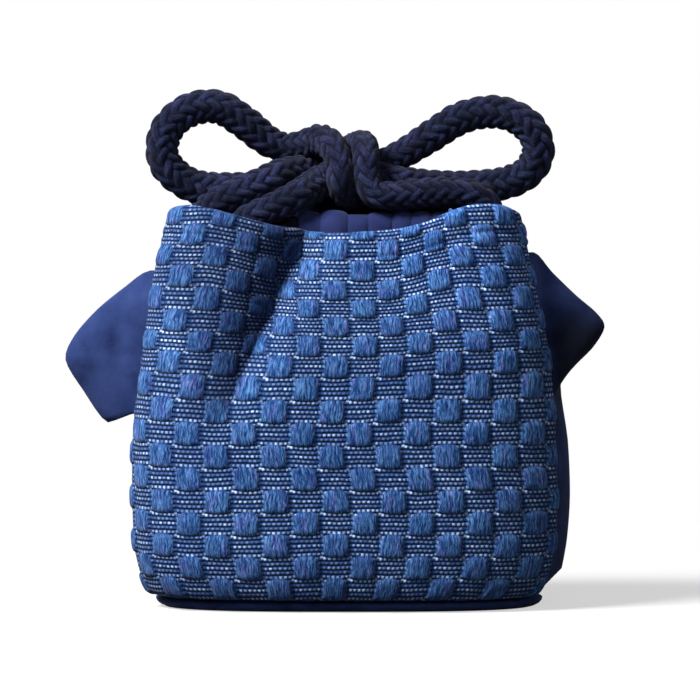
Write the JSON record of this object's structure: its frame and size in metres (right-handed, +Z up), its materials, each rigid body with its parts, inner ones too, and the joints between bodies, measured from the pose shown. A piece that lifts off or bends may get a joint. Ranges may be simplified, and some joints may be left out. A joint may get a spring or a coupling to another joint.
{
  "type": "drawstring pouch",
  "caption": "Small upright cloth pouch in checker-weave indigo cotton, drawn shut at a gathered neck and tied with a thick braided cord in a bow.",
  "frame": {"origin": "centre of the flat underside that the pouch stands on", "axes": "+X to the right across the front, +Y from the front to the back, +Z up through the neck"},
  "size_m": [0.1474, 0.0674, 0.1403],
  "materials": {
    "front_weave": "thick indigo cotton in a checker weave, matt",
    "back_weave": "thick indigo cotton in a checker weave, matt",
    "bag_cotton": "plain navy cotton, matt",
    "front_channel_cotton": "plain navy cotton, gathered, matt",
    "back_channel_cotton": "plain navy cotton, gathered, matt",
    "left_cord_braid": "braided dark navy cotton cord, matt",
    "right_cord_braid": "braided dark navy cotton cord, matt"
  },
  "bodies": {
    "root": {"front_panel": "front_weave", "back_panel": "back_weave", "inner_bag": "bag_cotton", "front_channel": "front_channel_cotton", "back_channel": "back_channel_cotton", "left_cord": "left_cord_braid", "right_cord": "right_cord_braid"}
  },
  "joints": []
}
